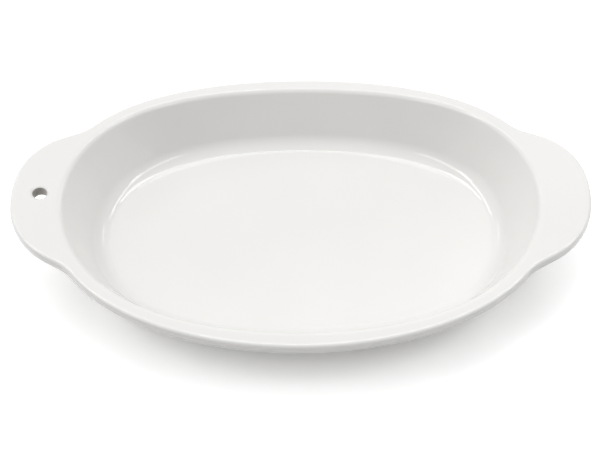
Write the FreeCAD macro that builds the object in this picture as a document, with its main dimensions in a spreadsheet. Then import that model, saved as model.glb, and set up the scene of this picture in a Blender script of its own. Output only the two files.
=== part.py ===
"""Oval baking dish with two ears: one piece of glazed ceramic, in millimetres.

The dish stands on its foot ring at z = 0, with the origin under its middle.
+X runs along its length, towards the ear without the hole, +Y across it and +Z up.
"""
import FreeCAD, Part
import math
import os

import Sketcher
from FreeCAD import Placement, Rotation, Vector

# Driving dimensions: name, value in millimetres unless the note says otherwise, note
SIZES = [
    ("overall_length", 340.0, "over the tips of both ears"),
    ("ear_reach", 20.0, "tip of an ear beyond the oval lip"),
    ("rim_width", 186.8, "cavity at the rim, across the dish"),
    ("rim_fullness", 0.82, "shape of the rim's oval, where 0.784 is an ellipse"),
    ("end_wall_run", 22.7, "edge of the flat floor to the rim, level, at the cavity's ends"),
    ("side_wall_run", 24.7, "edge of the flat floor to the rim, level, at the cavity's sides"),
    ("floor_fullness", 0.846, "shape of the floor's oval, where 0.784 is an ellipse"),
    ("cavity_depth", 30.5, "floor to the top of the rim at the middle of the sides"),
    ("rim_rise", 11.2, "tips of the ears above the rim at the middle of the sides"),
    ("lip_width", 9.7, "flat lip outside the cavity, along the sides"),
    ("lip_thickness", 7.0, "lip and ears"),
    ("wall_thickness", 6.2, "bowl's wall, measured level"),
    ("floor_thickness", 5.5, "under the flat floor"),
    ("foot_height", 1.5, "foot ring below the underside"),
    ("foot_width", 6.0, "foot ring, across its own flat"),
    ("heel_run", 6.6, "width of the low slope between the floor and the wall"),
    ("heel_rise", 2.0, "height of that low slope"),
    ("heel_radius", 13.0, "bend from the low slope into the wall"),
    ("crease_radius", 3.5, "bend at the edge of the flat floor"),
    ("rim_radius", 2.5, "edge between the lip and the cavity"),
    ("lip_top_radius", 2.2, "outer edge of the lip, on top"),
    ("lip_under_radius", 2.2, "outer edge of the lip, underneath"),
    ("neck_radius", 4.0, "hollow between the lip's underside and the bowl"),
    ("base_radius", 5.0, "outer edge of the base"),
    ("foot_radius", 0.7, "inner edges of the foot ring"),
    ("ear_width", 104.0, "ear across its rounded corners"),
    ("ear_tip_radius", 80.0, "end of the ear"),
    ("ear_corner_share", 0.4423, "radius of the ear's rounded corners against its width"),
    ("ear_root_share", 0.8385, "width of the ear's root, inside the lip, against the lip's width"),
    ("shoulder_radius", 30.0, "hollow where the ear joins the oval lip"),
    ("hole_diameter", 8.4, "hanging hole in one ear"),
    ("hole_inset", 16.7, "tip of the ear to the middle of the hole"),
    ("hole_edge_radius", 0.8, "both edges of the hanging hole"),
    ("cut_margin", 6.0, "how far construction shapes reach past the dish"),
]

# Heights and half sizes worked out from the driving dimensions
FLOOR_Z = "(Sizes.foot_height + Sizes.floor_thickness)"
HEEL_Z = f"({FLOOR_Z} + Sizes.heel_rise)"
RIM_Z = f"({FLOOR_Z} + Sizes.cavity_depth)"
TOP_Z = f"({RIM_Z} + Sizes.rim_rise + Sizes.cut_margin)"
HALF_LENGTH = "(Sizes.overall_length / 2)"
LIP_RUN = f"({HALF_LENGTH} - Sizes.ear_reach)"
RIM_RUN = f"({LIP_RUN} - Sizes.lip_width)"
RIM_SPAN = "(Sizes.rim_width / 2)"
LIP_SPAN = f"({RIM_SPAN} + Sizes.lip_width)"
FLOOR_RUN = f"({RIM_RUN} - Sizes.end_wall_run)"
FLOOR_SPAN = f"({RIM_SPAN} - Sizes.side_wall_run)"
HEEL_RUN = f"({FLOOR_RUN} + Sizes.heel_run)"
HEEL_SPAN = f"({FLOOR_SPAN} + Sizes.heel_run)"
EAR_CORNER_RADIUS = "(Sizes.ear_width * Sizes.ear_corner_share)"
EAR_CORNER_SPAN = f"(Sizes.ear_width / 2 - {EAR_CORNER_RADIUS})"
EAR_ROOT_RUN = f"({RIM_RUN} / 2)"
EAR_ROOT_SPAN = f"({LIP_SPAN} * Sizes.ear_root_share)"

# The rim follows a long arc: it passes the middle of the sides and both tips of the ears.
ARC_RADIUS = f"(({HALF_LENGTH}^2 + Sizes.rim_rise^2) / (2 * Sizes.rim_rise))"
ARC_CENTRE_Z = f"({RIM_Z} + {ARC_RADIUS})"
UNDERSIDE_RADIUS = f"({ARC_RADIUS} + Sizes.lip_thickness)"

# The arc is so flat that the rim's height at the cavity's ends goes with the square of the distance.
RIM_END_Z = f"({RIM_Z} + Sizes.rim_rise * ({RIM_RUN} / {HALF_LENGTH})^2)"

# Level run of the cavity's wall for each millimetre of height, at the ends and at the sides
END_LEAN = f"(({RIM_RUN} - {HEEL_RUN}) / ({RIM_END_Z} - {HEEL_Z}))"
SIDE_LEAN = f"(({RIM_SPAN} - {HEEL_SPAN}) / ({RIM_Z} - {HEEL_Z}))"

# The cavity's wall carried on up to the top construction plane, and the outside down to z = 0
TOP_RUN = f"({HEEL_RUN} + {END_LEAN} * ({TOP_Z} - {HEEL_Z}))"
TOP_SPAN = f"({HEEL_SPAN} + {SIDE_LEAN} * ({TOP_Z} - {HEEL_Z}))"
BASE_RUN = f"({HEEL_RUN} - {END_LEAN} * {HEEL_Z} + Sizes.wall_thickness)"
BASE_SPAN = f"({HEEL_SPAN} - {SIDE_LEAN} * {HEEL_Z} + Sizes.wall_thickness)"
RECESS_INSET = "(Sizes.foot_width + Sizes.base_radius)"

# How closely a face or an edge matches what it is looked up by
CLOSE = 0.02

doc = FreeCAD.newDocument("baking_dish")
sheet = doc.addObject("Spreadsheet::Sheet", "Sizes")
for row, (name, value, note) in enumerate(SIZES, start=1):
    sheet.set(f"A{row}", name)
    sheet.set(f"B{row}", str(value))
    sheet.setAlias(f"B{row}", name)
    sheet.set(f"C{row}", note)
doc.recompute()

body = doc.addObject("PartDesign::Body", "Dish")
body.Label = "baking_dish"
body.Placement = Placement(Vector(0, 0, 0), Rotation())
PLANES = {feature.Role: feature for feature in body.Origin.OriginFeatures}

ORIGIN = (-1, 1)
AXIS_X, AXIS_Y = range(-1, -3, -1)
START, END, CENTRE = range(1, 4)


def number(expression):
    """The present value of an expression over the sheet's sizes."""
    return float(sheet.evalExpression(expression))


def new_sketch(name, role, offset=None):
    """A sketch on one of the body's own planes, moved along its normal by an expression."""
    sketch = body.newObject("Sketcher::SketchObject", name)
    sketch.AttachmentSupport = [(PLANES[role], "")]
    sketch.MapMode = "FlatFace"
    if offset:
        sketch.setExpression("AttachmentOffset.Base.z", offset)
    return sketch


def size(sketch, kind, name, expression, *points):
    """A dimension of a sketch, bound to an expression over the sheet's sizes."""
    value = number(expression)
    index = sketch.addConstraint(Sketcher.Constraint(kind, *points, value))
    sketch.renameConstraint(index, name)
    sketch.setExpression(f"Constraints.{name}", expression)


def oval_sketch(name, height, run, span, fullness):
    """A smooth closed oval: a cubic spline through eight poles, even about both axes.

    The poles lie so that the curve crosses the axes at the half sizes run and span. The four
    diagonal poles stand at fullness times those sizes, and more makes the oval squarer.
    """
    axis_pole = f"(3 - {fullness}) / 2"
    sizes = (f"{run} * {axis_pole}", f"{run} * {fullness}",
             f"{span} * {axis_pole}", f"{span} * {fullness}")
    end, corner_x, side, corner_y = (number(expression) for expression in sizes)
    sketch = new_sketch(name, "XY_Plane", height)
    poles = [Vector(end, 0), Vector(corner_x, corner_y), Vector(0, side), Vector(-corner_x, corner_y),
             Vector(-end, 0), Vector(-corner_x, -corner_y), Vector(0, -side), Vector(corner_x, -corner_y)]
    curve = sketch.addGeometry(Part.BSplineCurve(poles, None, None, True, 3, None, False), False)
    sketch.exposeInternalGeometry(curve)
    east, north_east, north, north_west, west, south_west, south, south_east = (
        (curve + 1 + pole, CENTRE) for pole in range(len(poles)))
    sketch.addConstraint([
        Sketcher.Constraint("PointOnObject", *east, AXIS_X),
        Sketcher.Constraint("PointOnObject", *north, AXIS_Y),
        Sketcher.Constraint("Symmetric", *east, *west, AXIS_Y),
        Sketcher.Constraint("Symmetric", *north, *south, AXIS_X),
        Sketcher.Constraint("Symmetric", *north_east, *north_west, AXIS_Y),
        Sketcher.Constraint("Symmetric", *north_east, *south_east, AXIS_X),
        Sketcher.Constraint("Symmetric", *south_east, *south_west, AXIS_Y),
    ])
    size(sketch, "DistanceX", "end_pole", sizes[0], *ORIGIN, *east)
    size(sketch, "DistanceX", "corner_pole_run", sizes[1], *ORIGIN, *north_east)
    size(sketch, "DistanceY", "side_pole", sizes[2], *ORIGIN, *north)
    size(sketch, "DistanceY", "corner_pole_span", sizes[3], *ORIGIN, *north_east)
    return sketch


def ear_sketch(name):
    """The right ear from above: a wide tip arc, two corner arcs and two sides that spread inwards.

    The sides run on to a straight root that lies inside the oval lip.
    """
    tip_x = number(HALF_LENGTH)
    tip_r = number("Sizes.ear_tip_radius")
    corner_r = number(EAR_CORNER_RADIUS)
    corner_y = number(EAR_CORNER_SPAN)
    root_x = number(EAR_ROOT_RUN)
    root_y = number(EAR_ROOT_SPAN)
    turn = math.asin(corner_y / (tip_r - corner_r))
    corner_x = tip_x - tip_r + (tip_r - corner_r) * math.cos(turn)
    to_corner = math.atan2(root_y - corner_y, corner_x - root_x)
    side = to_corner - math.asin(corner_r / math.hypot(root_y - corner_y, corner_x - root_x))
    side_x = corner_x + corner_r * math.sin(side)
    side_y = corner_y + corner_r * math.cos(side)
    up = Vector(0, 0, 1)

    sketch = new_sketch(name, "XY_Plane")
    tip = sketch.addGeometry(Part.ArcOfCircle(
        Part.Circle(Vector(tip_x - tip_r, 0), up, tip_r), -turn, turn))
    upper = sketch.addGeometry(Part.ArcOfCircle(
        Part.Circle(Vector(corner_x, corner_y), up, corner_r), turn, math.pi / 2 - side))
    upper_side = sketch.addGeometry(Part.LineSegment(Vector(side_x, side_y), Vector(root_x, root_y)))
    root = sketch.addGeometry(Part.LineSegment(Vector(root_x, root_y), Vector(root_x, -root_y)))
    lower_side = sketch.addGeometry(Part.LineSegment(Vector(root_x, -root_y), Vector(side_x, -side_y)))
    lower = sketch.addGeometry(Part.ArcOfCircle(
        Part.Circle(Vector(corner_x, -corner_y), up, corner_r), side - math.pi / 2, -turn))
    sketch.addConstraint([
        Sketcher.Constraint("PointOnObject", tip, CENTRE, AXIS_X),
        Sketcher.Constraint("Tangent", tip, END, upper, START),
        Sketcher.Constraint("Tangent", upper, END, upper_side, START),
        Sketcher.Constraint("Coincident", upper_side, END, root, START),
        Sketcher.Constraint("Coincident", root, END, lower_side, START),
        Sketcher.Constraint("Tangent", lower_side, END, lower, START),
        Sketcher.Constraint("Tangent", lower, END, tip, START),
        Sketcher.Constraint("Symmetric", upper, CENTRE, lower, CENTRE, AXIS_X),
        Sketcher.Constraint("Symmetric", root, START, root, END, AXIS_X),
    ])
    size(sketch, "Radius", "tip_radius", "Sizes.ear_tip_radius", tip)
    size(sketch, "Radius", "corner_radius", EAR_CORNER_RADIUS, upper)
    size(sketch, "DistanceX", "tip_centre", f"{HALF_LENGTH} - Sizes.ear_tip_radius", *ORIGIN, tip, CENTRE)
    size(sketch, "DistanceY", "corner_centre", EAR_CORNER_SPAN, *ORIGIN, upper, CENTRE)
    size(sketch, "DistanceX", "root_place", EAR_ROOT_RUN, *ORIGIN, root, START)
    size(sketch, "DistanceY", "root_half_width", EAR_ROOT_SPAN, *ORIGIN, root, START)
    return sketch


def arch_sketch(name, radius, far_height):
    """What an arch in the XZ plane cuts off: the arc, and a straight frame out to far_height."""
    centre_z = number(ARC_CENTRE_Z)
    arc_r = number(radius)
    reach = number(f"{HALF_LENGTH} + Sizes.cut_margin")
    far = number(far_height)
    spread = math.asin(reach / arc_r)
    end_z = centre_z - arc_r * math.cos(spread)
    sketch = new_sketch(name, "XZ_Plane")
    arc = sketch.addGeometry(Part.ArcOfCircle(
        Part.Circle(Vector(0, centre_z), Vector(0, 0, 1), arc_r),
        -math.pi / 2 - spread, -math.pi / 2 + spread))
    right = sketch.addGeometry(Part.LineSegment(Vector(reach, end_z), Vector(reach, far)))
    cap = sketch.addGeometry(Part.LineSegment(Vector(reach, far), Vector(-reach, far)))
    left = sketch.addGeometry(Part.LineSegment(Vector(-reach, far), Vector(-reach, end_z)))
    sketch.addConstraint([
        Sketcher.Constraint("PointOnObject", arc, CENTRE, AXIS_Y),
        Sketcher.Constraint("Coincident", arc, END, right, START),
        Sketcher.Constraint("Coincident", right, END, cap, START),
        Sketcher.Constraint("Coincident", cap, END, left, START),
        Sketcher.Constraint("Coincident", left, END, arc, START),
        Sketcher.Constraint("Vertical", right),
        Sketcher.Constraint("Symmetric", cap, START, cap, END, AXIS_Y),
        Sketcher.Constraint("Symmetric", arc, START, arc, END, AXIS_Y),
    ])
    size(sketch, "Radius", "arc_radius", radius, arc)
    size(sketch, "DistanceY", "arc_centre", ARC_CENTRE_Z, *ORIGIN, arc, CENTRE)
    size(sketch, "DistanceX", "reach", f"{HALF_LENGTH} + Sizes.cut_margin", *ORIGIN, right, START)
    size(sketch, "DistanceY", "far_side", far_height, *ORIGIN, cap, START)
    return sketch


def circle_sketch(name, x, diameter):
    """One circle on the base plane, centred x before the origin on the X axis."""
    sketch = new_sketch(name, "XY_Plane")
    circle = sketch.addGeometry(Part.Circle(
        Vector(-number(x), 0), Vector(0, 0, 1), number(diameter) / 2))
    sketch.addConstraint(Sketcher.Constraint("PointOnObject", circle, CENTRE, AXIS_X))
    size(sketch, "Diameter", "diameter", diameter, circle)
    size(sketch, "DistanceX", "place", x, circle, CENTRE, *ORIGIN)
    return sketch


def pad(name, sketch, length):
    """The sketch's outline drawn straight up."""
    feature = body.newObject("PartDesign::Pad", name)
    feature.Profile = sketch
    feature.setExpression("Length", length)
    doc.recompute()
    return feature


def cut_through(name, sketch):
    """A pocket both ways from its sketch, right through, which has to take something away."""
    before = body.Tip.Shape.Volume
    feature = body.newObject("PartDesign::Pocket", name)
    feature.Profile = sketch
    feature.Type = "ThroughAll"
    feature.Midplane = True
    doc.recompute()
    check_cut(name, before)
    return feature


def cut_up(name, sketch, depth):
    """A pocket upwards from a sketch on the base plane."""
    before = body.Tip.Shape.Volume
    feature = body.newObject("PartDesign::Pocket", name)
    feature.Profile = sketch
    feature.Type = "Length"
    feature.Reversed = True
    feature.setExpression("Length", depth)
    doc.recompute()
    check_cut(name, before)
    return feature


def check_cut(name, before):
    if not body.Tip.Shape.Volume < before:
        raise RuntimeError(f"{name} takes nothing away")


def loft(kind, name, sketches):
    """A solid or a cut with straight walls from each sketch to the next."""
    feature = body.newObject(f"PartDesign::{kind}", name)
    feature.Profile = sketches[0]
    feature.Sections = sketches[1:]
    feature.Ruled = True
    doc.recompute()
    return feature


def round_edges(name, radius, edges):
    """A fillet on edges of the body's present shape."""
    base = body.Tip
    names = [f"Edge{index}" for index, edge in enumerate(base.Shape.Edges, start=1)
             if any(edge.isSame(wanted) for wanted in edges)]
    feature = body.newObject("PartDesign::Fillet", name)
    feature.Base = (base, names)
    feature.setExpression("Radius", f"Sizes.{radius}")
    doc.recompute()
    return feature


def arched_faces(radius):
    """The body's faces on the arch of this radius: the lip's top or its underside."""
    wanted = number(radius)
    return [face for face in body.Tip.Shape.Faces
            if isinstance(face.Surface, Part.Cylinder) and abs(face.Surface.Radius - wanted) < CLOSE]


def level_faces(height):
    """The body's level flat faces at a height."""
    wanted = number(height)
    return [face for face in body.Tip.Shape.Faces
            if isinstance(face.Surface, Part.Plane) and abs(face.BoundBox.ZMin - wanted) < CLOSE
            and face.BoundBox.ZLength < CLOSE]


def level_edges(height):
    """The body's edges that lie wholly at a height."""
    wanted = number(height)
    return [edge for edge in body.Tip.Shape.Edges
            if abs(edge.BoundBox.ZMin - wanted) < CLOSE and edge.BoundBox.ZLength < CLOSE]


def wires_by_length(faces):
    """Every boundary of the faces, the longest first."""
    wires = [wire for face in faces for wire in face.Wires]
    return sorted(wires, key=lambda wire: wire.Length, reverse=True)


def shoulder_edges():
    """The upright edges where an ear's flat side meets the oval lip at an angle."""
    shape = body.Tip.Shape
    found = []
    for edge in shape.Edges:
        if edge.BoundBox.XLength > CLOSE or edge.BoundBox.YLength > CLOSE:
            continue
        faces = shape.ancestorsOfType(edge, Part.Face)
        flat = [face for face in faces if isinstance(face.Surface, Part.Plane)]
        round_faces = [face for face in faces if not isinstance(face.Surface, (Part.Plane, Part.Cylinder))]
        if flat and round_faces:
            found.append(edge)
    return found


# The oval lip and the two ears, as one upright block
pad("LipBlock", oval_sketch("LipOval", None, LIP_RUN, LIP_SPAN, "Sizes.rim_fullness"), TOP_Z)
right_ear = pad("RightEar", ear_sketch("EarOutline"), TOP_Z)
left_ear = body.newObject("PartDesign::Mirrored", "LeftEar")
left_ear.Originals = [right_ear]
left_ear.MirrorPlane = (PLANES["YZ_Plane"], [""])
body.Tip = left_ear
doc.recompute()
round_edges("Shoulders", "shoulder_radius", shoulder_edges())

# The arched underside of the lip, then the bowl outside it, then the arched top of both
cut_through("LipUnderside", arch_sketch("UndersideArch", UNDERSIDE_RADIUS, "-Sizes.cut_margin"))
base_oval = oval_sketch("BaseOval", None, BASE_RUN, BASE_SPAN, "Sizes.floor_fullness")
outer_top_oval = oval_sketch("OuterTopOval", TOP_Z, f"({TOP_RUN} + Sizes.wall_thickness)",
                             f"({TOP_SPAN} + Sizes.wall_thickness)", "Sizes.rim_fullness")
loft("AdditiveLoft", "Bowl", [base_oval, outer_top_oval])
round_edges("Neck", "neck_radius", wires_by_length(arched_faces(UNDERSIDE_RADIUS))[-1].Edges)
cut_through("LipTop", arch_sketch("TopArch", ARC_RADIUS, f"({TOP_Z} + Sizes.cut_margin)"))

# The cavity: flat floor, low slope around it, then the straight wall up to the rim
floor_oval = oval_sketch("FloorOval", FLOOR_Z, FLOOR_RUN, FLOOR_SPAN, "Sizes.floor_fullness")
heel_oval = oval_sketch("HeelOval", HEEL_Z, HEEL_RUN, HEEL_SPAN, "Sizes.floor_fullness")
top_oval = oval_sketch("TopOval", TOP_Z, TOP_RUN, TOP_SPAN, "Sizes.rim_fullness")
before_cavity = body.Tip.Shape.Volume
loft("SubtractiveLoft", "Cavity", [floor_oval, heel_oval, top_oval])
check_cut("Cavity", before_cavity)

# The recess inside the foot ring and the hanging hole
foot_oval = oval_sketch("FootOval", None, f"({BASE_RUN} - {RECESS_INSET})",
                        f"({BASE_SPAN} - {RECESS_INSET})", "Sizes.floor_fullness")
cut_up("FootRecess", foot_oval, "Sizes.foot_height")
cut_through("HangingHole", circle_sketch(
    "HoleCircle", f"{HALF_LENGTH} - Sizes.hole_inset", "Sizes.hole_diameter"))

# Rounded edges: inside the cavity, around the base, then along the lip, the hole and the foot ring
round_edges("Heel", "heel_radius", level_edges(HEEL_Z))
round_edges("Crease", "crease_radius", wires_by_length(level_faces(FLOOR_Z))[0].Edges)
round_edges("BaseEdge", "base_radius", wires_by_length(level_faces("0"))[0].Edges)
round_edges("RimEdge", "rim_radius", wires_by_length(arched_faces(ARC_RADIUS))[1].Edges)
round_edges("LipTopEdge", "lip_top_radius", wires_by_length(arched_faces(ARC_RADIUS))[0].Edges)
round_edges("LipUnderEdge", "lip_under_radius", wires_by_length(arched_faces(UNDERSIDE_RADIUS))[0].Edges)
round_edges("HoleTopEdge", "hole_edge_radius", wires_by_length(arched_faces(ARC_RADIUS))[-1].Edges)
round_edges("HoleUnderEdge", "hole_edge_radius", wires_by_length(arched_faces(UNDERSIDE_RADIUS))[-1].Edges)
round_edges("FootEdge", "foot_radius", wires_by_length(level_faces("0"))[1].Edges)
round_edges("RecessCorner", "foot_radius", wires_by_length(level_faces("Sizes.foot_height"))[0].Edges)

failed = [each.Name for each in doc.Objects if "Invalid" in each.State or "Error" in each.State]
if failed:
    raise RuntimeError(f"not built: {', '.join(failed)}")
dish = body.Tip.Shape
if dish.isNull() or not dish.isValid() or len(dish.Solids) != 1:
    raise RuntimeError("the dish isn't one valid solid")

os.makedirs("parts", exist_ok=True)
dish.exportStep(os.path.join("parts", f"{body.Label}.step"))
print(f"{body.Label}: {dish.Volume / 1000:.1f} cm3")
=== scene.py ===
"""The oval baking dish as photographed: white glazed ceramic on a white table in soft light.

All lengths are in metres, in the part's frame: origin on the table under the middle of the dish,
+X along its length towards the ear without the hole, +Y to the back, +Z up.
"""

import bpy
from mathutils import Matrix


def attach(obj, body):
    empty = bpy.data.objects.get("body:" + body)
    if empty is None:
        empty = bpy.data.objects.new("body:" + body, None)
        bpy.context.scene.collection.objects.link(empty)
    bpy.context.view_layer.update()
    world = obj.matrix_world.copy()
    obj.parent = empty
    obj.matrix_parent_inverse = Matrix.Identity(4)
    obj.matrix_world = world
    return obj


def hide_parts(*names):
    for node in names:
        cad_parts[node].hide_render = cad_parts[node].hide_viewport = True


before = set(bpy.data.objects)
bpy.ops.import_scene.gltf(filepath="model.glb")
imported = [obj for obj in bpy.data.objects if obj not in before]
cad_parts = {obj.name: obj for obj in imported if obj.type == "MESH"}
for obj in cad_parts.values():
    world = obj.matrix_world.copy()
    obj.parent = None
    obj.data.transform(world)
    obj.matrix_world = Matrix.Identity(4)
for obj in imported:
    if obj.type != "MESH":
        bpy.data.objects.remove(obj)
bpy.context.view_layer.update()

import math

import bpy
import numpy as np
from mathutils import Matrix, Vector

MM = 0.001
PI = math.pi

# Sizes of the dish, as in the part's own source. Only RIM_RADIUS is larger here, as the photo's far
# edge shows it.
LENGTH = 340.0 * MM
RIM_RUN, RIM_SPAN, RIM_FULLNESS = 140.3 * MM, 93.4 * MM, 0.82
FLOOR_RUN, FLOOR_SPAN, FLOOR_FULLNESS = 117.6 * MM, 68.7 * MM, 0.846
DEPTH, RIM_RISE = 30.5 * MM, 11.2 * MM
LIP_WIDTH, LIP_THICKNESS = 9.7 * MM, 7.0 * MM
WALL, FLOOR_THICKNESS = 6.2 * MM, 5.5 * MM
FOOT_HEIGHT, FOOT_WIDTH = 1.5 * MM, 6.0 * MM
HEEL_WIDTH, HEEL_RISE = 6.6 * MM, 2.0 * MM
HEEL_RADIUS, CREASE_RADIUS, RIM_RADIUS = 13.0 * MM, 3.5 * MM, 4.5 * MM
LIP_TOP_RADIUS, LIP_UNDER_RADIUS, NECK_RADIUS = 2.2 * MM, 2.2 * MM, 4.0 * MM
BASE_RADIUS, FOOT_RADIUS = 5.0 * MM, 0.7 * MM
EAR_WIDTH, EAR_TIP_RADIUS, EAR_CORNER_RADIUS = 104.0 * MM, 80.0 * MM, 46.0 * MM
EAR_SIDE_ANGLE, SHOULDER_RADIUS = math.radians(28.0), 30.0 * MM
HOLE_RADIUS, HOLE_INSET, HOLE_EDGE = 4.2 * MM, 16.7 * MM, 0.8 * MM
CUT_MARGIN = 6.0 * MM

# Heights and half sizes worked out from them
FLOOR_Z = FOOT_HEIGHT + FLOOR_THICKNESS
HEEL_Z = FLOOR_Z + HEEL_RISE
RIM_Z = FLOOR_Z + DEPTH
TOP_Z = RIM_Z + RIM_RISE + CUT_MARGIN
HALF = LENGTH / 2
HEEL_RUN, HEEL_SPAN = FLOOR_RUN + HEEL_WIDTH, FLOOR_SPAN + HEEL_WIDTH
ARC_RADIUS = (HALF ** 2 + RIM_RISE ** 2) / (2 * RIM_RISE)
ARC_CENTRE_Z = RIM_Z + ARC_RADIUS
RIM_END_Z = RIM_Z + RIM_RISE * (RIM_RUN / HALF) ** 2
END_LEAN = (RIM_RUN - HEEL_RUN) / (RIM_END_Z - HEEL_Z)
SIDE_LEAN = (RIM_SPAN - HEEL_SPAN) / (RIM_Z - HEEL_Z)
TOP_RUN = HEEL_RUN + END_LEAN * (TOP_Z - HEEL_Z)
TOP_SPAN = HEEL_SPAN + SIDE_LEAN * (TOP_Z - HEEL_Z)
BASE_RUN = HEEL_RUN - END_LEAN * HEEL_Z + WALL
BASE_SPAN = HEEL_SPAN - SIDE_LEAN * HEEL_Z + WALL

# Fineness of the mesh: columns around the dish, rings across a bend, a small bend, a flat stretch and
# a short stretch, and points around the hanging hole
COLUMNS = 680
BEND_RINGS, FOOT_RINGS = 8, 4
STRETCH_RINGS, SHORT_RINGS = 8, 2
HOLE_COLUMNS = 96
# Share of the floor's oval that the closing face in its middle takes up
MIDDLE_SHARE = 0.02

# Tones of the glaze: where it pools, where it is even, and a darker tone on the wall of the hole
POOLED_TONE = (0.796, 0.788, 0.773, 1)
EVEN_TONE = (0.816, 0.808, 0.793, 1)
HOLE_TONE = (0.42, 0.4, 0.37, 1)
# The hole's tone gives way to the glaze's between these distances outside the hole's wall
HOLE_TONE_ENDS, GLAZE_TONE_STARTS = 0.01 * MM, 0.3 * MM

# Tone of the table for light that bounces, and for the camera, which sees it past full white as in the photo
TABLE_BOUNCE = (0.65, 0.65, 0.65, 1)
TABLE_SEEN = (1.4, 1.4, 1.4, 1)
# Half the side of the square table
TABLE_REACH = 3.0

# Soft glows of the room: azimuth and elevation in degrees, sharpness, strength
GLOWS = [
    (-90, 15, 4, 1.25),
    (90, 15, 4, 0.85),
    (0, 15, 4, 0.64),
    (-90, 50, 6, 0.24),
    (90, 50, 6, 0.16),
    (0, 50, 6, 0.36),
    (180, 50, 6, 0.35),
    (180, 75, 14, 0.28),
]
# Soft boxes: name, azimuth and elevation in degrees, distance and size in metres, power in watts
SOFT_BOXES = [
    ("back_top", 0, 69, 2.2, (1.3, 0.45), 9.5),
    ("left", -70, 58, 2.0, (1.6, 0.22), 4.7),
    ("right", 70, 58, 2.0, (1.6, 0.22), 4.7),
    ("left_front", -115, 58, 2.0, (1.2, 0.35), 4.0),
    ("right_front", 115, 58, 2.0, (1.2, 0.35), 4.0),
    ("left_back", -38, 36, 2.4, (0.5, 0.25), 1.0),
    ("right_back", 38, 36, 2.4, (0.5, 0.25), 1.0),
]


def oval(turns, run, span, fullness):
    """Points of the smooth oval at fractions of a turn: a periodic cubic spline through eight poles."""
    corner = (run * fullness, span * fullness)
    end, side = run * (3 - fullness) / 2, span * (3 - fullness) / 2
    poles = np.array([(end, 0), corner, (0, side), (-corner[0], corner[1]), (-end, 0),
                      (-corner[0], -corner[1]), (0, -side), (corner[0], -corner[1])])
    place = np.mod(turns, 1.0) * len(poles)
    span_index = np.floor(place).astype(int)
    u = place - span_index
    weights = np.stack([(1 - u) ** 3, 3 * u ** 3 - 6 * u ** 2 + 4,
                        -3 * u ** 3 + 3 * u ** 2 + 3 * u + 1, u ** 3], axis=1) / 6
    near = poles[np.mod(span_index[:, None] + np.arange(-1, 3), len(poles))]
    return (weights[:, :, None] * near).sum(axis=1)


def arch(x, radius=ARC_RADIUS):
    """Height of the arched rim over x. A larger radius about the same centre gives the underside."""
    return ARC_CENTRE_Z - np.sqrt(radius ** 2 - x ** 2)


def ear_outline():
    """Polar angles, radii and outward normals of the lip's outline over a quarter of the dish."""
    corner_y = EAR_WIDTH / 2 - EAR_CORNER_RADIUS
    turn = math.asin(corner_y / (EAR_TIP_RADIUS - EAR_CORNER_RADIUS))
    tip_x = HALF - EAR_TIP_RADIUS
    corner_x = tip_x + (EAR_TIP_RADIUS - EAR_CORNER_RADIUS) * math.cos(turn)
    side_normal = PI / 2 - EAR_SIDE_ANGLE
    normal = np.array([math.cos(side_normal), math.sin(side_normal)])
    along = np.array([-normal[1], normal[0]])
    start = np.array([corner_x, corner_y]) + EAR_CORNER_RADIUS * normal

    lip_starts, lip_ends, lip_points = 0.02, 0.25, 4000
    turns = np.linspace(lip_starts, lip_ends, lip_points)
    lip = oval(turns, RIM_RUN + LIP_WIDTH, RIM_SPAN + LIP_WIDTH, RIM_FULLNESS)
    step = np.gradient(lip, axis=0)
    lip_normal = np.stack([step[:, 1], -step[:, 0]], axis=1)
    lip_normal /= np.linalg.norm(lip_normal, axis=1)[:, None]
    centres = lip + SHOULDER_RADIUS * lip_normal
    off_side = (centres - start) @ normal
    at = int(np.argmin(np.abs(off_side - SHOULDER_RADIUS)))
    centre = centres[at]
    side_end = start + along * float((centre - start) @ along)
    lip_angle = math.atan2(-lip_normal[at][1], -lip_normal[at][0])
    side_angle = math.atan2(-normal[1], -normal[0])

    def arc(middle, radius, first, last, count, facing):
        angles = np.linspace(first, last, count)
        rays = np.stack([np.cos(angles), np.sin(angles)], axis=1)
        return middle + radius * rays, rays * facing

    arc_points, line_points = 200, 100
    line = np.linspace(0, 1, line_points)[:, None]
    pieces = [
        arc(np.array([tip_x, 0.0]), EAR_TIP_RADIUS, 0, turn, arc_points, 1),
        arc(np.array([corner_x, corner_y]), EAR_CORNER_RADIUS, turn, side_normal, 2 * arc_points, 1),
        (start + line * (side_end - start), np.repeat(normal[None], len(line), axis=0)),
        arc(centre, SHOULDER_RADIUS, side_angle, lip_angle, arc_points, -1),
        (lip[at:], lip_normal[at:]),
    ]
    points = np.vstack([piece[0] for piece in pieces])
    normals = np.vstack([piece[1] for piece in pieces])
    return np.arctan2(points[:, 1], points[:, 0]), np.hypot(points[:, 0], points[:, 1]), normals


def lip_outline(angles):
    """Points and outward normals of the lip's outline at polar angles, even about both axes."""
    known, radii, normals = ear_outline()
    folded = np.arctan2(np.abs(np.sin(angles)), np.abs(np.cos(angles)))
    radius = np.interp(folded, known, radii)
    signs = np.stack([np.sign(np.cos(angles)), np.sign(np.sin(angles))], axis=1)
    out = np.stack([np.interp(folded, known, normals[:, k]) for k in (0, 1)], axis=1) * signs
    out[signs == 0] = 0
    out /= np.linalg.norm(out, axis=1)[:, None]
    return np.stack([np.cos(angles), np.sin(angles)], axis=1) * radius[:, None], out


def with_height(points, height):
    """Level points set at one height, or each at its own."""
    height = np.broadcast_to(height, len(points))
    return np.column_stack([points, height])


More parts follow.
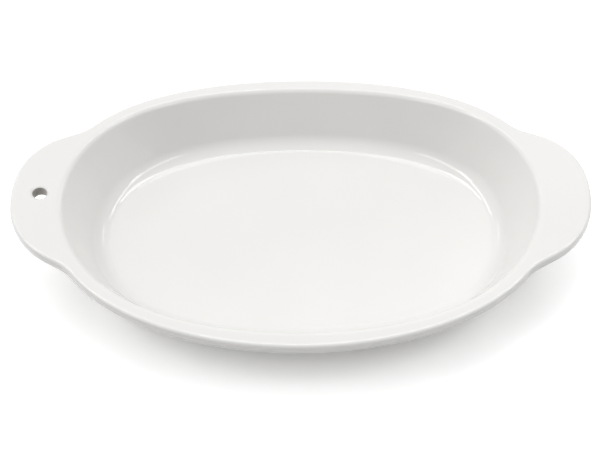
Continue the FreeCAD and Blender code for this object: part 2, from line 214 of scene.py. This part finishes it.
def bend(before, corner, after, radius, count=BEND_RINGS):
    """Rings of an arc of this radius that rounds the corner between two straight stretches."""
    a = before - corner
    c = after - corner
    a /= np.linalg.norm(a, axis=1)[:, None]
    c /= np.linalg.norm(c, axis=1)[:, None]
    half = np.arccos(np.clip((a * c).sum(axis=1), -1, 1)) / 2
    middle = (a + c) / np.linalg.norm(a + c, axis=1)[:, None]
    centre = corner + middle * (radius / np.sin(half))[:, None]
    first = corner + a * (radius / np.tan(half))[:, None] - centre
    sweep = PI - 2 * half
    across = -middle - (-middle * first).sum(axis=1)[:, None] * first / radius ** 2
    across /= np.linalg.norm(across, axis=1)[:, None]
    rings = []
    for part in np.linspace(0, 1, count + 1):
        angle = (sweep * part)[:, None]
        rings.append(centre + first * np.cos(angle) + across * radius * np.sin(angle))
    return rings


def stretch(first, last, count=STRETCH_RINGS, height=None):
    """Rings between two rings, both left out, at the height given as a function of x."""
    rings = []
    for part in np.linspace(0, 1, count + 2)[1:-1]:
        ring = first + (last - first) * part
        if height:
            ring[:, 2] = height(ring[:, 0])
        rings.append(ring)
    return rings


def where_wall_meets(lower, upper, height, steps=12):
    """Where the straight lines of a wall cross the height given as a function of x, found step by step."""
    part = np.full(len(lower), 0.5)
    for _ in range(steps):
        ring = lower + (upper - lower) * part[:, None]
        part += (height(ring[:, 0]) - ring[:, 2]) / (upper[:, 2] - lower[:, 2])
    return lower + (upper - lower) * part[:, None]


def outward(points, lower, distance, height):
    """The points moved level, away from the wall's foot, and set at a height over their x."""
    way = points[:, :2] - lower[:, :2]
    way /= np.linalg.norm(way, axis=1)[:, None]
    moved = points[:, :2] + way * distance
    return with_height(moved, height(moved[:, 0]))


def under_arch(x):
    """Height of the underside of the lip and ears over x."""
    return arch(x, ARC_RADIUS + LIP_THICKNESS)


def dish_rings():
    """Every ring of the dish, from the middle of its floor over the lip to the middle underneath."""
    turns = np.arange(COLUMNS) / COLUMNS
    floor = with_height(oval(turns, FLOOR_RUN, FLOOR_SPAN, FLOOR_FULLNESS), FLOOR_Z)
    heel = with_height(oval(turns, HEEL_RUN, HEEL_SPAN, FLOOR_FULLNESS), HEEL_Z)
    top = with_height(oval(turns, TOP_RUN, TOP_SPAN, RIM_FULLNESS), TOP_Z)
    rim = where_wall_meets(heel, top, arch)
    to_middle = np.array([MIDDLE_SHARE, MIDDLE_SHARE, 1.0])
    middle = floor * to_middle
    angles = np.arctan2(rim[:, 1], rim[:, 0])

    crease = bend(middle, floor, heel, CREASE_RADIUS)
    heel_bend = bend(floor, heel, rim, HEEL_RADIUS, 2 * BEND_RINGS)
    rim_bend = bend(heel, rim, outward(rim, heel, RIM_RADIUS * 2, arch), RIM_RADIUS)
    rings = [middle] + stretch(middle, crease[0]) + crease
    rings += stretch(crease[-1], heel_bend[0], 1) + heel_bend
    rings += stretch(heel_bend[-1], rim_bend[0]) + rim_bend

    outline, normals = lip_outline(angles)
    edge_top, edge_under = [], []
    for part in np.linspace(0, PI / 2, BEND_RINGS + 1):
        inset = outline - normals * LIP_TOP_RADIUS * (1 - math.sin(part))
        edge_top.append(with_height(inset, arch(inset[:, 0]) - LIP_TOP_RADIUS * (1 - math.cos(part))))
        inset = outline - normals * LIP_UNDER_RADIUS * (1 - math.cos(part))
        edge_under.append(with_height(
            inset, under_arch(inset[:, 0]) + LIP_UNDER_RADIUS * (1 - math.sin(part))))
    rings += stretch(rim_bend[-1], edge_top[0], STRETCH_RINGS, arch) + edge_top
    rings += stretch(edge_top[-1], edge_under[0], SHORT_RINGS) + edge_under

    base = with_height(oval(turns, BASE_RUN, BASE_SPAN, FLOOR_FULLNESS), 0.0)
    outer_top = with_height(oval(turns, TOP_RUN + WALL, TOP_SPAN + WALL, RIM_FULLNESS), TOP_Z)
    neck = where_wall_meets(base, outer_top, under_arch)
    neck_bend = bend(outward(neck, base, NECK_RADIUS, under_arch), neck, base, NECK_RADIUS)
    inset = FOOT_WIDTH + BASE_RADIUS
    foot = with_height(oval(turns, BASE_RUN - inset, BASE_SPAN - inset, FLOOR_FULLNESS), 0.0)
    recess = foot + np.array([0, 0, FOOT_HEIGHT])
    under_middle = recess * to_middle
    base_bend = bend(neck, base, foot, BASE_RADIUS)
    foot_bend = bend(base, foot, recess, FOOT_RADIUS, FOOT_RINGS)
    corner_bend = bend(foot, recess, under_middle, FOOT_RADIUS, FOOT_RINGS)
    rings += stretch(edge_under[-1], neck_bend[0], STRETCH_RINGS, under_arch) + neck_bend
    rings += stretch(neck_bend[-1], base_bend[0]) + base_bend
    rings += stretch(base_bend[-1], foot_bend[0], SHORT_RINGS) + foot_bend
    rings += corner_bend + stretch(corner_bend[-1], under_middle) + [under_middle]
    return rings


def mesh_object(name, points, faces):
    mesh = bpy.data.meshes.new(name)
    mesh.from_pydata([tuple(point) for point in points], [], faces)
    mesh.validate()
    piece = bpy.data.objects.new(name, mesh)
    bpy.context.scene.collection.objects.link(piece)
    for polygon in mesh.polygons:
        polygon.use_smooth = True
    return piece


def ring_faces(ring_count, columns):
    """Quads between neighbouring rings, and one many-sided face at each end."""
    faces = []
    for ring in range(ring_count - 1):
        for column in range(columns):
            after = (column + 1) % columns
            faces.append((ring * columns + column, ring * columns + after,
                          (ring + 1) * columns + after, (ring + 1) * columns + column))
    faces.append(tuple(reversed(range(columns))))
    faces.append(tuple((ring_count - 1) * columns + column for column in range(columns)))
    return faces


def hole_cutter():
    """A closed plug for the hanging hole, flared at both ends to round the hole's edges."""
    flare_end, flare_steps = math.radians(84), 10
    overrun, overrun_flare = 2 * MM, 0.3 * MM
    x = HOLE_INSET - HALF
    slope = float(x / math.sqrt(ARC_RADIUS ** 2 - x ** 2))
    top, under = float(arch(x)), float(under_arch(x))
    angles = np.linspace(0, 2 * PI, HOLE_COLUMNS, endpoint=False)
    above, below = [], []
    for part in np.linspace(flare_end, 0, flare_steps):
        radius = HOLE_RADIUS + HOLE_EDGE * (1 - math.cos(part))
        depth = HOLE_EDGE * (1 - math.sin(part))
        above.append((radius, top - depth))
        below.append((radius, under + depth))
    widest = above[0][0] + overrun_flare
    profile = [(widest, top + overrun)] + above + below[::-1] + [(widest, under - overrun)]
    points = []
    for radius, height in profile:
        for angle in angles:
            dx = radius * math.cos(angle)
            points.append((x + dx, radius * math.sin(angle), height + slope * dx))
    return mesh_object("hole_cutter", points, ring_faces(len(profile), len(angles)))


def make_dish():
    rings = dish_rings()
    points = np.vstack(rings)
    dish = mesh_object("dish_glaze", points, ring_faces(len(rings), COLUMNS))
    cutter = hole_cutter()
    for piece in (dish, cutter):
        bpy.context.view_layer.objects.active = piece
        bpy.ops.object.mode_set(mode="EDIT")
        bpy.ops.mesh.select_all(action="SELECT")
        bpy.ops.mesh.normals_make_consistent(inside=False)
        bpy.ops.object.mode_set(mode="OBJECT")
    cut = dish.modifiers.new("hole", "BOOLEAN")
    cut.operation = "DIFFERENCE"
    cut.solver = "EXACT"
    cut.object = cutter
    bpy.context.view_layer.objects.active = dish
    bpy.ops.object.modifier_apply(modifier=cut.name)
    bpy.data.objects.remove(cutter)
    for polygon in dish.data.polygons:
        polygon.use_smooth = True
    return dish


def node(tree, kind, **values):
    made = tree.nodes.new(kind)
    for key, value in values.items():
        setattr(made, key, value)
    return made


def hole_mask(tree, place):
    """0 on the wall of the hanging hole and 1 outside it."""
    level = node(tree, "ShaderNodeVectorMath", operation="MULTIPLY")
    level.inputs[1].default_value = (1, 1, 0)
    reach = node(tree, "ShaderNodeVectorMath", operation="DISTANCE")
    reach.inputs[1].default_value = (HOLE_INSET - HALF, 0, 0)
    outside = node(tree, "ShaderNodeMapRange", interpolation_type="SMOOTHSTEP")
    outside.inputs["From Min"].default_value = HOLE_RADIUS + HOLE_TONE_ENDS
    outside.inputs["From Max"].default_value = HOLE_RADIUS + GLAZE_TONE_STARTS
    tree.links.new(place, level.inputs[0])
    tree.links.new(level.outputs["Vector"], reach.inputs[0])
    tree.links.new(reach.outputs["Value"], outside.inputs["Value"])
    return outside.outputs["Result"]


def glaze_tone(tree, place):
    """Warm white that pools faintly, and a darker tone on the wall of the hanging hole."""
    cloud = node(tree, "ShaderNodeTexNoise")
    cloud.inputs["Scale"].default_value = 14.0
    cloud.inputs["Detail"].default_value = 3.0
    tone = node(tree, "ShaderNodeValToRGB")
    tone.color_ramp.elements[0].position = 0.3
    tone.color_ramp.elements[0].color = POOLED_TONE
    tone.color_ramp.elements[1].position = 0.7
    tone.color_ramp.elements[1].color = EVEN_TONE
    # Darker tone on the wall of the hanging hole
    hole_darkening = node(tree, "ShaderNodeMix", data_type="RGBA")
    hole_darkening.inputs["A"].default_value = HOLE_TONE
    tree.links.new(place, cloud.inputs["Vector"])
    tree.links.new(cloud.outputs["Fac"], tone.inputs["Fac"])
    tree.links.new(hole_mask(tree, place), hole_darkening.inputs["Factor"])
    tree.links.new(tone.outputs["Color"], hole_darkening.inputs["B"])
    return hole_darkening.outputs["Result"]


def glaze_skin(tree, place, shader):
    """An uneven gloss, and waves of a few thousandths of a millimetre that break up its highlights."""
    skin = node(tree, "ShaderNodeTexNoise")
    skin.inputs["Scale"].default_value = 60.0
    skin.inputs["Detail"].default_value = 1.0
    gloss = node(tree, "ShaderNodeMapRange")
    gloss.inputs["To Min"].default_value = 0.03
    gloss.inputs["To Max"].default_value = 0.06
    bump = node(tree, "ShaderNodeBump")
    bump.inputs["Strength"].default_value = 0.006
    bump.inputs["Distance"].default_value = 0.001
    tree.links.new(place, skin.inputs["Vector"])
    tree.links.new(skin.outputs["Fac"], gloss.inputs["Value"])
    tree.links.new(gloss.outputs["Result"], shader.inputs["Roughness"])
    tree.links.new(skin.outputs["Fac"], bump.inputs["Height"])
    tree.links.new(bump.outputs["Normal"], shader.inputs["Normal"])


def glaze_material():
    material = bpy.data.materials.new("white_glaze")
    material.use_nodes = True
    tree = material.node_tree
    shader = tree.nodes["Principled BSDF"]
    shader.inputs["IOR"].default_value = 1.5
    shader.inputs["Specular IOR Level"].default_value = 0.5
    place = node(tree, "ShaderNodeTexCoord").outputs["Object"]
    tree.links.new(glaze_tone(tree, place), shader.inputs["Base Color"])
    glaze_skin(tree, place, shader)
    return material


def seen_rays(tree):
    """1 for the camera's rays and for those that a mirror or glass passes on, 0 for light that bounces."""
    path = node(tree, "ShaderNodeLightPath")
    first = node(tree, "ShaderNodeMath", operation="MAXIMUM")
    both = node(tree, "ShaderNodeMath", operation="MAXIMUM")
    tree.links.new(path.outputs["Is Camera Ray"], first.inputs[0])
    tree.links.new(path.outputs["Is Glossy Ray"], first.inputs[1])
    tree.links.new(first.outputs["Value"], both.inputs[0])
    tree.links.new(path.outputs["Is Transmission Ray"], both.inputs[1])
    return both.outputs["Value"]


def floor_material():
    """Matt white, brighter to the camera than to light that bounces."""
    material = bpy.data.materials.new("white_table")
    material.use_nodes = True
    tree = material.node_tree
    tree.nodes.clear()
    paper = node(tree, "ShaderNodeBsdfDiffuse")
    mix = node(tree, "ShaderNodeMix", data_type="RGBA")
    mix.inputs["A"].default_value = TABLE_BOUNCE
    mix.inputs["B"].default_value = TABLE_SEEN
    out = node(tree, "ShaderNodeOutputMaterial")
    tree.links.new(seen_rays(tree), mix.inputs["Factor"])
    tree.links.new(mix.outputs["Result"], paper.inputs["Color"])
    tree.links.new(paper.outputs["BSDF"], out.inputs["Surface"])
    return material


def make_floor():
    corners = [(-1, -1, 0), (1, -1, 0), (1, 1, 0), (-1, 1, 0)]
    table = mesh_object("table_top", np.array(corners) * TABLE_REACH, [(0, 1, 2, 3)])
    table.data.materials.append(floor_material())


def make_camera():
    """The photograph's viewpoint, from a fit of the rim, the ears, the floor's edge and the hole."""
    elevation, yaw, roll = math.radians(51.0), math.radians(-1.47), math.radians(-1.35)
    distance = 750.0 * MM
    aim = Vector((0.15 * MM, -17.55 * MM, RIM_Z))
    photo_width, focal_pixels, sensor_width = 600.0, 1283.6, 36.0
    level = math.cos(elevation)
    ahead = Vector((math.sin(yaw) * level, math.cos(yaw) * level, -math.sin(elevation)))
    right = ahead.cross(Vector((0, 0, 1))).normalized()
    up = right.cross(ahead)
    right_rolled = math.cos(roll) * right + math.sin(roll) * up
    up_rolled = -math.sin(roll) * right + math.cos(roll) * up
    data = bpy.data.cameras.new("photo_camera")
    data.sensor_width = sensor_width
    data.lens = focal_pixels * sensor_width / photo_width
    data.clip_start = 0.01
    camera = bpy.data.objects.new("photo_camera", data)
    turn = Matrix((right_rolled, up_rolled, -ahead)).transposed().to_4x4()
    camera.matrix_world = Matrix.Translation(aim - ahead * distance) @ turn
    bpy.context.scene.collection.objects.link(camera)
    bpy.context.scene.camera = camera


def direction(azimuth, elevation):
    """Azimuth 0 is behind the dish and 90 to its right, in degrees."""
    a, e = math.radians(azimuth), math.radians(elevation)
    return Vector((math.sin(a) * math.cos(e), math.cos(a) * math.cos(e), math.sin(e)))


def soft_box(name, azimuth, elevation, distance, size, power):
    """A soft box that faces the dish."""
    place = direction(azimuth, elevation) * distance
    data = bpy.data.lights.new(name, "AREA")
    data.shape = "RECTANGLE"
    data.size, data.size_y = size
    data.energy = power
    lamp = bpy.data.objects.new(name, data)
    lamp.location = place
    lamp.rotation_euler = (-place).to_track_quat("-Z", "Y").to_euler()
    bpy.context.scene.collection.objects.link(lamp)


def make_room():
    """White to the camera. The dish gets a sum of glows, each a power of the cosine to its direction."""
    world = bpy.data.worlds.new("soft_room")
    world.use_nodes = True
    tree = world.node_tree
    back = tree.nodes["Background"]
    back.inputs["Color"].default_value = (1, 1, 1, 1)
    place = node(tree, "ShaderNodeTexCoord")
    total = None
    for azimuth, elevation, sharpness, strength in GLOWS:
        cosine = node(tree, "ShaderNodeVectorMath", operation="DOT_PRODUCT")
        cosine.inputs[1].default_value = direction(azimuth, elevation)
        facing = node(tree, "ShaderNodeMath", operation="MAXIMUM")
        facing.inputs[1].default_value = 0.0
        glow = node(tree, "ShaderNodeMath", operation="POWER")
        glow.inputs[1].default_value = sharpness
        add = node(tree, "ShaderNodeMath", operation="MULTIPLY_ADD")
        add.inputs[1].default_value = strength
        add.inputs[2].default_value = 0.0
        tree.links.new(place.outputs["Generated"], cosine.inputs[0])
        tree.links.new(cosine.outputs["Value"], facing.inputs[0])
        tree.links.new(facing.outputs["Value"], glow.inputs[0])
        tree.links.new(glow.outputs["Value"], add.inputs[0])
        if total:
            tree.links.new(total, add.inputs[2])
        total = add.outputs["Value"]
    path = node(tree, "ShaderNodeLightPath")
    mix = node(tree, "ShaderNodeMix", data_type="FLOAT")
    mix.inputs["B"].default_value = 1.0
    tree.links.new(path.outputs["Is Camera Ray"], mix.inputs["Factor"])
    tree.links.new(total, mix.inputs["A"])
    tree.links.new(mix.outputs["Result"], back.inputs["Strength"])
    bpy.context.scene.world = world


make_camera()
make_floor()
make_room()
for box in SOFT_BOXES:
    soft_box(*box)
dish = make_dish()
dish.data.materials.append(glaze_material())
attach(dish, "root")
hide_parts("baking_dish")

bpy.context.scene.view_settings.view_transform = "Standard"
